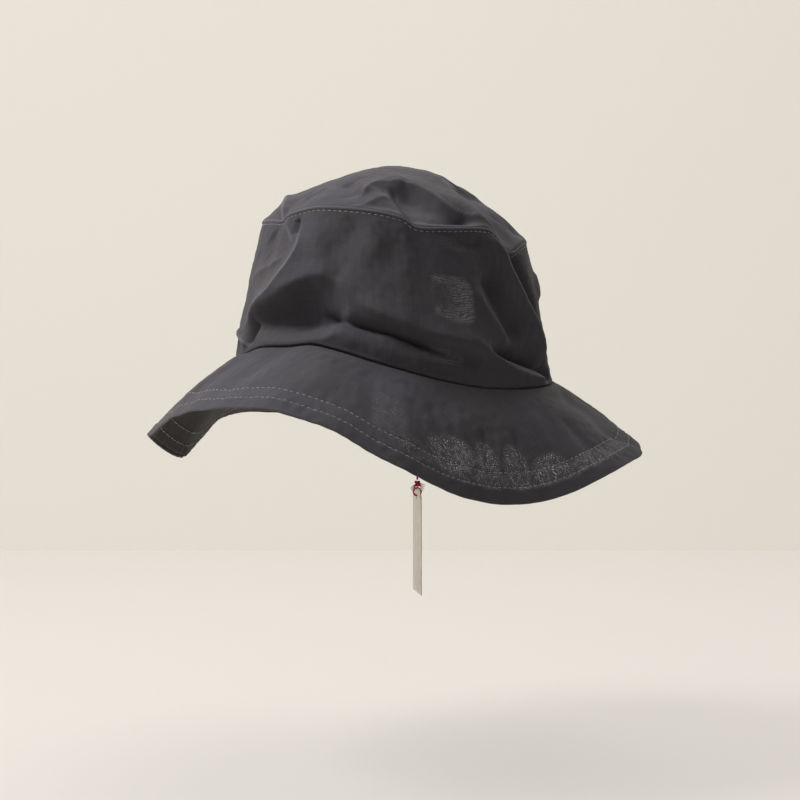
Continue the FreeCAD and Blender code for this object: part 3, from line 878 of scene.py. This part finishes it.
# Where pale light comes through the brim: (bearing, distance), half sizes, power, strength
BRIM_GLINTS = (((41, 46), (8, 13), 2.0, 1.0), ((51, 47), (4.5, 15), 2.0, 0.85),
               ((60, 49), (4.5, 17), 2.0, 1.0), ((70, 52), (7, 11), 2.0, 0.95),
               ((84, 53), (10, 7), 2.0, 0.8), ((96, 52), (8, 6), 2.0, 0.5),
               ((24, 36), (5, 18), 2.0, 0.16), ((31, 52), (6, 7), 2.0, 0.3), ((66, 57), (32, 6), 2.0, 0.6))


def make_brim_upper(material):
    """Upper cloth of the brim, which turns round the edge and ends under it."""
    points, bearing, distance = brim_grid(BRIM_COLUMNS, -SEAM_ALLOWANCE, -EDGE_RADIUS, BRIM_ROWS)
    edge = points[:, -1]
    ahead = edge - points[:, -2]
    ahead /= np.linalg.norm(ahead, axis=-1, keepdims=True)
    down = normals(points)[:, -1]
    rolled = []
    for k in range(1, EDGE_STEPS + 1):
        angle = math.pi * k / EDGE_STEPS
        rolled.append(edge + ahead * EDGE_RADIUS * math.sin(angle)
                      + down * EDGE_RADIUS * (1 - math.cos(angle)))
    rolled.append(rolled[-1] - ahead * EDGE_TURN_UNDER)
    points = np.concatenate([points, np.stack(rolled, axis=1)], axis=1)
    extra = np.arange(1, len(rolled) + 1) * 0.4
    distance = np.concatenate([distance, distance[:, -1:] + extra], axis=1)
    bearing = np.repeat(bearing[:, :1], points.shape[1], axis=1)
    piece = brim_sheet("brim_upper_cloth", points, bearing, distance, material)
    from_edge = brim_width(bearing) - distance
    set_attribute(piece, "glint", strongest_patch(bearing, distance, BRIM_GLINTS) * step_up(from_edge, 6, 10))
    between = step_up(from_edge, BRIM_OUTER_ROW_INSET, BRIM_OUTER_ROW_INSET + 1)
    between *= 1 - step_up(from_edge, BRIM_INNER_ROW_INSET - 1, BRIM_INNER_ROW_INSET)
    set_attribute(piece, "rub_and_crest_highlight", 0.06 * between + 0.25 * np.exp(-((from_edge + 0.2) / 0.5) ** 2))
    thicken(piece, CLOTH_THICKNESS)
    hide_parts("brim_upper")


def make_brim_under(material):
    points, bearing, distance = brim_grid(BRIM_COLUMNS, 0.0, -UNDER_INSET, UNDER_ROWS, depth=LINING_DEPTH)
    piece = brim_sheet("brim_under_cloth", points, bearing, distance, material)
    from_edge = brim_width(bearing) - distance
    set_attribute(piece, "rub_and_crest_highlight", 0.3 * (1 - step_up(from_edge, 2.5, 4.0)))
    thicken(piece, CLOTH_THICKNESS)
    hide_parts("brim_under")


LINING_COLUMNS = 361
LINING_ROWS = 60
TIP_LINING_ROWS = 40
BAND_ROWS = 30
# The lining starts and ends inside the two seams
LINING_START = 0.5
LINING_BELOW_SEAM = 1.5


def make_side_lining(material):
    grid = side_grid(LINING_COLUMNS, LINING_START, lambda b: side_height(b) - LINING_BELOW_SEAM, LINING_ROWS,
                     depth=LINING_DEPTH)
    piece = side_sheet("side_lining_cloth", *grid, material, "lining")[0]
    thicken(piece, CLOTH_THICKNESS)
    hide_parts("side_lining")


BAND_START = 0.3
BAND_HEIGHT = 28.0
BAND_THICKNESS = 0.6


def make_sweatband(material):
    grid = side_grid(LINING_COLUMNS, BAND_START, BAND_HEIGHT, BAND_ROWS, depth=BAND_DEPTH)
    piece = side_sheet("sweatband_ribbed", *grid, material, "band")[0]
    thicken(piece, BAND_THICKNESS)
    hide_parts("sweatband")


# ---------------------------------------------------------------- stitches


def capsule_template(length, sides=6, rings=6):
    """A short thread that dips at both ends: points along X, with Z up, and its faces."""
    radius = STITCH_RADIUS
    points = []
    for k in range(rings + 1):
        share = k / rings
        x = (share - 0.5) * length
        swell = math.sin(math.pi * min(max(share, 0.04), 0.96)) ** 0.45
        for s in range(sides):
            angle = 2 * math.pi * s / sides
            points.append((x, radius * swell * math.cos(angle),
                           radius * swell * math.sin(angle) - radius * 1.3 * (1 - swell)))
    faces = []
    for k in range(rings):
        for s in range(sides):
            a, b = k * sides + s, k * sides + (s + 1) % sides
            faces.append((a, b, b + sides, a + sides))
    faces.append(tuple(range(sides))[::-1])
    faces.append(tuple(rings * sides + s for s in range(sides)))
    return np.array(points), faces


def stitch_row(line, up, seed, pitch=STITCH_PITCH, length=STITCH_LENGTH):
    """Stitches along a line of points, lying on the cloth whose normals are up."""
    random = np.random.default_rng(seed)
    along = np.concatenate([[0], np.cumsum(np.linalg.norm(np.diff(line, axis=0), axis=1))])
    template, faces = capsule_template(length)
    count = int(along[-1] / pitch)
    points, all_faces = [], []
    for k in range(count):
        middle = (k + 0.5) * along[-1] / count
        at = [np.array([np.interp(middle + move, along, line[:, c]) for c in range(3)])
              for move in (-length / 2, 0, length / 2)]
        normal = np.array([np.interp(middle, along, up[:, c]) for c in range(3)])
        ahead = at[2] - at[0]
        ahead /= np.linalg.norm(ahead)
        slant = random.uniform(-0.05, 0.05)
        across = np.cross(normal, ahead)
        across /= np.linalg.norm(across)
        ahead = ahead + across * slant
        normal = np.cross(ahead, across)
        stretch = random.uniform(0.92, 1.06)
        middle_point = at[1] + normal * STITCH_RADIUS * STITCH_LIFT
        start = len(points) * len(template)
        points.append(middle_point + template[:, :1] * stretch * ahead + template[:, 1:2] * across
                      + template[:, 2:] * normal)
        all_faces += [tuple(start + i for i in face) for face in faces]
    return np.vstack(points), all_faces


def join_rows(rows):
    points, faces = [], []
    for row_points, row_faces in rows:
        start = sum(len(p) for p in points)
        points.append(row_points)
        faces += [tuple(start + i for i in face) for face in row_faces]
    return np.vstack(points), faces


# A row of stitches is laid on the middle line of a narrow strip of cloth this wide to each side
ROW_COLUMNS = 721
ROW_HALF = 0.3


def make_tip_row(material):
    line = side_grid(ROW_COLUMNS, lambda b: side_height(b) - TIP_ROW_BELOW_SEAM - ROW_HALF,
                     lambda b: side_height(b) - TIP_ROW_BELOW_SEAM + ROW_HALF, 3)[0]
    row = stitch_row(line[:, 1], normals(line)[:, 1], seed=11)
    piece = make_mesh("tip_row_stitches", *row, material, "thread")
    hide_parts("tip_topstitch")


def brim_row_line(inset, side, depth):
    bearing = np.linspace(-180, 180, ROW_COLUMNS)
    distance = (brim_width(bearing) - inset)[:, None] + np.array([-ROW_HALF, 0, ROW_HALF])
    bearing = np.repeat(bearing[:, None], 3, axis=1)
    points = raised(brim_smooth, brim_relief, bearing, distance, -1)
    up = -normals(points)[:, 1]
    return points[:, 1] - up * depth, up * side


def make_brim_row(name, inset, node, material, seed):
    """Needle thread on top and bobbin thread underneath."""
    top = stitch_row(*brim_row_line(inset, 1, 0.0), seed=seed)
    under = stitch_row(*brim_row_line(inset, -1, LINING_DEPTH + CLOTH_THICKNESS), seed=seed + 1)
    points, faces = join_rows([top, under])
    piece = make_mesh(name, points, faces, material, "thread")
    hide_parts(node)


BACK_ROW_BEARING = 180.0 - math.degrees(BACK_ROW_OFFSET / OPENING_HALF_LENGTH)
BACK_ROW_FROM = 1.5


def back_row(smooth, relief, side, end, rows, seed):
    """Stitches beside the back seam, on the crown side or the brim, up to a height or distance."""
    half = math.degrees(ROW_HALF / OPENING_HALF_LENGTH)
    bearing = BACK_ROW_BEARING + np.array([-half, 0, half])
    u, v = np.meshgrid(bearing, np.linspace(BACK_ROW_FROM, end, rows), indexing="ij")
    points = raised(smooth, relief, u, v, side)
    return stitch_row(points[1], side * normals(points)[1], seed)


def make_back_rows(material):
    """The rows beside the back seam, up the crown and out along the brim."""
    top = float(side_height(BACK_ROW_BEARING)) - TIP_ROW_BELOW_SEAM - 1
    row = back_row(side_smooth, side_relief, 1, top, 90, 31)
    piece = make_mesh("side_back_stitches", *row, material, "thread")
    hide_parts("side_back_topstitch")
    edge = float(brim_width(BACK_ROW_BEARING)) - BRIM_INNER_ROW_INSET - 1
    row = back_row(brim_smooth, brim_relief, -1, edge, 70, 32)
    piece = make_mesh("brim_back_stitches", *row, material, "thread")
    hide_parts("brim_back_topstitch")


# ---------------------------------------------------------------- labels, tag and its cord

WOVEN_LABEL_WIDTH = 45.0
WOVEN_LABEL_HEIGHT = 18.0
WOVEN_LABEL_LIFT = 5.0
WOVEN_LABEL_THICKNESS = 0.5
LABEL_END_ROW = 1.6
LABEL_ROW_INSET = 0.8
CARE_LABEL_HEIGHT = 24.0
CARE_LABEL_WIDTH = 16.0
CARE_LABEL_THICKNESS = 0.3
CARE_LABEL_BEARING = 150.0
# The cord's route from the hitch to the knot, in metres
CORD_ROUTE = [(-0.025056, 0.086242, -0.011429), (-0.026204, 0.085891, -0.042429),
              (-0.025056, 0.086242, -0.073429)]
CORD_DIAMETER = 0.0012


def make_woven_label(material, thread):
    inner_radius = OPENING_HALF_LENGTH - LABEL_DEPTH
    half = math.degrees(WOVEN_LABEL_WIDTH / 2 / inner_radius)
    top = WOVEN_LABEL_LIFT + WOVEN_LABEL_HEIGHT
    grid = side_grid(46, WOVEN_LABEL_LIFT, top, 20, depth=LABEL_DEPTH, start=180 - half, end=180 + half)
    label = side_sheet("woven_label_bare", *grid, material, "label")[0]
    thicken(label, WOVEN_LABEL_THICKNESS)
    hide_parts("woven_label")
    rows = []
    for end in (-1, 1):
        at = 180 + end * (half - math.degrees(LABEL_END_ROW / inner_radius))
        points = side_grid(3, WOVEN_LABEL_LIFT + LABEL_ROW_INSET, top - LABEL_ROW_INSET, 12,
                           depth=LABEL_DEPTH + WOVEN_LABEL_THICKNESS, start=at - 0.3, end=at + 0.3)[0]
        rows.append(stitch_row(points[1], -normals(points)[1], 41 + end, pitch=2.4, length=1.9))
    stitches = make_mesh("woven_label_end_stitches", *join_rows(rows), thread, "thread")
    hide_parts("woven_label_stitches")


def make_care_label(material):
    """A soft slip that hangs from the band's top edge and bellies a little towards the head."""
    low, high = (np.array(corner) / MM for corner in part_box("care_label"))
    middle = (low + high) / 2
    way = outward(CARE_LABEL_BEARING)
    sideways = np.array([-way[1], way[0], 0])
    across = np.linspace(-0.5, 0.5, 17)
    down = np.linspace(0, 1, 25)
    u, v = np.meshgrid(across, down, indexing="ij")
    belly = 1.2 * np.sin(np.pi * v) * v + 0.5 * v + 0.35 * np.sin(2 * np.pi * u + 0.6) * v
    points = (middle + upward((0.5 - v) * CARE_LABEL_HEIGHT) + sideways * (u * CARE_LABEL_WIDTH)[..., None]
              - way * belly[..., None])
    label = make_mesh("care_label_slip", points.reshape(-1, 3), grid_faces(17, 25), material, "care_label",
                      "care_flap")
    set_cut(label, np.stack([u * CARE_LABEL_WIDTH, v * CARE_LABEL_HEIGHT], axis=-1).reshape(-1, 2))
    thicken(label, CARE_LABEL_THICKNESS, 0.0)
    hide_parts("care_label")


def tube(name, path, radius, material, slot_name, body, closed=False, sides=10):
    """A round tube along points in millimetres; radius may be one number for each point."""
    path = np.asarray(path, float)
    count = len(path)
    radius = np.broadcast_to(radius, count)
    ahead = np.roll(path, -1, axis=0) - np.roll(path, 1, axis=0) if closed else np.gradient(path, axis=0)
    ahead /= np.linalg.norm(ahead, axis=1, keepdims=True)
    side = np.cross(ahead[0], [0.31, 0.17, 0.94])
    angles = 2 * math.pi * np.arange(sides) / sides
    points = []
    for at, way, thick in zip(path, ahead, radius):
        side = side - way * (side @ way)
        side /= np.linalg.norm(side)
        other = np.cross(way, side)
        points.append(at + thick * (np.cos(angles)[:, None] * side + np.sin(angles)[:, None] * other))
    index = np.arange(count * sides).reshape(count, sides)
    faces = []
    for k in range(count if closed else count - 1):
        low, high = index[k], index[(k + 1) % count]
        shift = 0
        if k == count - 1:
            gaps = [np.linalg.norm(points[k][0] - points[0][s]) for s in range(sides)]
            shift = int(np.argmin(gaps))
        for s in range(sides):
            t = (s + 1) % sides
            faces.append((int(low[s]), int(low[t]), int(high[(t + shift) % sides]),
                          int(high[(s + shift) % sides])))
    if not closed:
        faces += [tuple(int(i) for i in index[0][::-1]), tuple(int(i) for i in index[-1])]
    return make_mesh(name, np.vstack(points), faces, material, slot_name, body)


def middle_of(node):
    low, high = (np.array(corner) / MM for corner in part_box(node))
    return (low + high) / 2


KNOT_STRAND = 0.62
KNOT_SIZE = 0.53
TAIL_LENGTH = 4.2


def make_tag_knot(material):
    """The cord tied in a small knot with two short frayed ends."""
    middle = middle_of("tag_knot")
    t = np.linspace(0, 2 * math.pi, 72, endpoint=False)
    loops = np.stack([np.sin(t) + 2 * np.sin(2 * t), -1.1 * np.sin(3 * t), np.cos(t) - 2 * np.cos(2 * t)],
                     axis=-1)
    knot = tube("cord_knot", middle + loops * KNOT_SIZE, KNOT_STRAND, material, "tag_cord", "cord",
                closed=True)
    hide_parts("tag_knot")
    pieces = [knot]
    for k, (sideways, down) in enumerate(((0.95, -0.35), (-0.8, -0.7))):
        for strand in range(4):
            spread = (strand - 1.5) * 0.22
            s = np.linspace(0, 1, 10)[:, None]
            way = np.array([sideways, spread, down + spread * sideways])
            path = middle + way * (0.8 + s * TAIL_LENGTH) + np.array([0, 0, -1.0]) * s ** 2
            pieces.append(tube(f"cord_tail_{k + 1}_{strand + 1}", path, np.linspace(0.3, 0.16, 10), material,
                               "tag_cord", "cord", sides=6))
    return pieces


def make_tag_cord(material, pieces):
    curve = bpy.data.curves.new("tag_cord_line", "CURVE")
    curve.dimensions = "3D"
    curve.bevel_depth = CORD_DIAMETER / 2
    curve.bevel_resolution = 4
    curve.resolution_u = 16
    curve.use_fill_caps = True
    spline = curve.splines.new("NURBS")
    spline.points.add(len(CORD_ROUTE) - 1)
    for point, place in zip(spline.points, CORD_ROUTE):
        point.co = (*place, 1)
    spline.order_u = 3
    spline.use_endpoint_u = True
    curve.materials.append(material)
    cord = bpy.data.objects.new("tag_cord_line", curve)
    scene.collection.objects.link(cord)
    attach(cord, "cord")
    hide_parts("tag_cord")


def dress_node(node, material):
    """Gives a construction node that stays in view its finish."""
    piece = bpy.data.objects[node]
    for slot in piece.material_slots:
        slot.material = material


# ---------------------------------------------------------------- stage and light

FLOOR_Z = -0.231
WALL_BEHIND = 1.0
WALL_HEIGHT = 4.0
STAGE_HALF_WIDTH = 6.0
FLOOR_COLOR = (0.74, 0.705, 0.65)
WALL_COLOR = (0.76, 0.725, 0.65)
# How bright the world is where it is seen itself, and how much light it gives
SEEN_STRENGTH = 0.9
WORLD_LIGHT = 0.1
WORLD_COLOR = (0.97, 0.98, 1.0)
# How much of a stage surface's seen color is its own even tone, and not what the lights make of it
EVEN_SHARE = 0.75
LIGHT_TARGET = (0, 0, 0.02)
# (name, metres towards the camera, to its right and up, size in metres, watts, color)
LIGHTS = (("window", (0.32, -1.05, 1.1), 0.7, 31, (1.0, 0.99, 0.985)),
          ("ceiling", (-0.3, 0.25, 1.3), 1.2, 15, (1.0, 0.975, 0.95)))


def straight_rays(tree):
    """1 for the rays that show the background itself: to the camera, in a mirror, or through glass."""
    path = add_node(tree, "ShaderNodeLightPath")
    return math_node(tree, "MAXIMUM", path.outputs["Is Camera Ray"],
                     math_node(tree, "MAXIMUM", path.outputs["Is Glossy Ray"],
                               path.outputs["Is Transmission Ray"]))


def pale_material(name, color):
    """Pale painted surface, clear from behind. Camera and mirror rays see part of it at its own even tone."""
    material, tree, shader = new_material(name, color, 0.9, specular=0.1)
    glow = add_node(tree, "ShaderNodeEmission", {"Color": (*color, 1), "Strength": 1.0})
    even = math_node(tree, "MULTIPLY", straight_rays(tree), EVEN_SHARE)
    front = mix_shader(tree, even, shader.outputs["BSDF"], glow.outputs["Emission"])
    clear = add_node(tree, "ShaderNodeBsdfTransparent").outputs["BSDF"]
    shown = mix_shader(tree, add_node(tree, "ShaderNodeNewGeometry").outputs["Backfacing"], front, clear)
    tree.links.new(shown, tree.nodes["Material Output"].inputs["Surface"])
    return material


def make_stage():
    """Floor and wall, square to the camera."""
    back, right = camera_axes()[:2]
    behind = Vector((-back.x, -back.y, 0)).normalized()
    left = -right * STAGE_HALF_WIDTH
    near = Vector((0, 0, FLOOR_Z)) - behind * STAGE_HALF_WIDTH / 2
    far = Vector((0, 0, FLOOR_Z)) + behind * WALL_BEHIND
    top = Vector((0, 0, WALL_HEIGHT))
    sheets = (("floor", FLOOR_COLOR, [near + left, near - left, far - left, far + left]),
              ("wall", WALL_COLOR, [far + left, far - left, far - left + top, far + left + top]))
    for name, color, corners in sheets:
        mesh = bpy.data.meshes.new(name)
        mesh.from_pydata(corners, [], [(0, 1, 2, 3)])
        mesh.materials.append(pale_material(name, color))
        thing = bpy.data.objects.new(name, mesh)
        scene.collection.objects.link(thing)


def area_light(name, place, size, power, color):
    """A square light that faces the hat."""
    data = bpy.data.lights.new(name, "AREA")
    data.size = size
    data.energy = power
    data.color = color
    light = bpy.data.objects.new(name, data)
    scene.collection.objects.link(light)
    light.location = place
    light.rotation_mode = "QUATERNION"
    light.rotation_quaternion = (Vector(LIGHT_TARGET) - place).to_track_quat("-Z", "Y")


def make_light():
    """A soft window on the camera's left and above, a ceiling, and faint light all round."""
    back, right, up = camera_axes()
    for name, (toward, across, above), size, power, color in LIGHTS:
        area_light(name, back * toward + right * across + up * above, size, power, color)
    world = bpy.data.worlds.new("world")
    world.use_nodes = True
    tree = world.node_tree
    light = tree.nodes["Background"]
    light.inputs["Color"].default_value = (*WORLD_COLOR, 1)
    light.inputs["Strength"].default_value = WORLD_LIGHT
    shown = add_node(tree, "ShaderNodeBackground", {"Color": (*WALL_COLOR, 1), "Strength": SEEN_STRENGTH})
    mixed = mix_shader(tree, straight_rays(tree), light.outputs["Background"], shown.outputs["Background"])
    tree.links.new(mixed, tree.nodes["World Output"].inputs["Surface"])
    scene.world = world
    scene.view_settings.view_transform = "Standard"


# ---------------------------------------------------------------- build

CLOTH_COLOR = (0.0605, 0.0573, 0.068)
CLOTH_BROWN = (0.063, 0.0573, 0.0632)
# Drift, wobble, gaps and two sets of lines for glint_dashes. Each set is (turn, pitch, low, high).
CROWN_DASHES = (7.0, 1.5, 0.36, ((0.3, 0.75, 0.5, 0.9), (1.45, 1.3, 0.1, 0.7)))
BRIM_DASHES = (11.0, 1.8, 0.42, ((0.9, 0.85, 0.45, 0.85), (2.1, 1.15, 0.2, 0.75)))

make_camera()
red_cord = thread_material("red_cord", (0.42, 0.012, 0.025))
make_tag_cord(red_cord, make_tag_knot(red_cord))

cloth = cloth_material("cloth", CLOTH_COLOR, CLOTH_BROWN, CROWN_DASHES, (0.33, 0.33, 0.34))
brim_cloth = cloth_material("brim_cloth", CLOTH_COLOR, CLOTH_BROWN, BRIM_DASHES, (0.52, 0.515, 0.52))
under_cloth = cloth_material("under_cloth", (0.05, 0.045, 0.045), (0.05, 0.045, 0.043))
lining_cloth = cloth_material("lining_cloth", (0.065, 0.063, 0.07), CLOTH_BROWN)
band_cloth = ribbed_material("band_cloth", (0.05, 0.048, 0.052))
label_cloth = ribbed_material("label_cloth", (0.62, 0.58, 0.5), 0.5)
care_cloth = ribbed_material("care_cloth", (0.74, 0.73, 0.7), 0.3)
sewing_thread = thread_material("sewing_thread", (0.25, 0.237, 0.225))
loop_thread = thread_material("loop_thread", (0.6, 0.57, 0.5))
card_paper = card_material("card_paper", (0.89, 0.85, 0.775))

make_crown_side(cloth)
make_side_lining(lining_cloth)
make_tip("crown_tip_cloth", TIP_COLUMNS, TIP_ROWS, 0.0, cloth, "cloth", "crown_tip")
make_tip("tip_lining_cloth", LINING_COLUMNS, TIP_LINING_ROWS, LINING_DEPTH, lining_cloth, "lining",
         "tip_lining")
make_brim_under(under_cloth)
make_brim_upper(brim_cloth)
make_sweatband(band_cloth)
make_tip_row(sewing_thread)
make_brim_row("brim_outer_stitches", BRIM_OUTER_ROW_INSET, "brim_topstitch_outer", sewing_thread, 21)
make_brim_row("brim_inner_stitches", BRIM_INNER_ROW_INSET, "brim_topstitch_inner", sewing_thread, 23)
make_back_rows(sewing_thread)
make_woven_label(label_cloth, sewing_thread)
make_care_label(care_cloth)
for node, material in (("loop_tab", under_cloth), ("tag_loop", loop_thread), ("cord_hitch", red_cord),
                       ("tag_eye", red_cord), ("tag_card", card_paper)):
    dress_node(node, material)
make_stage()
make_light()
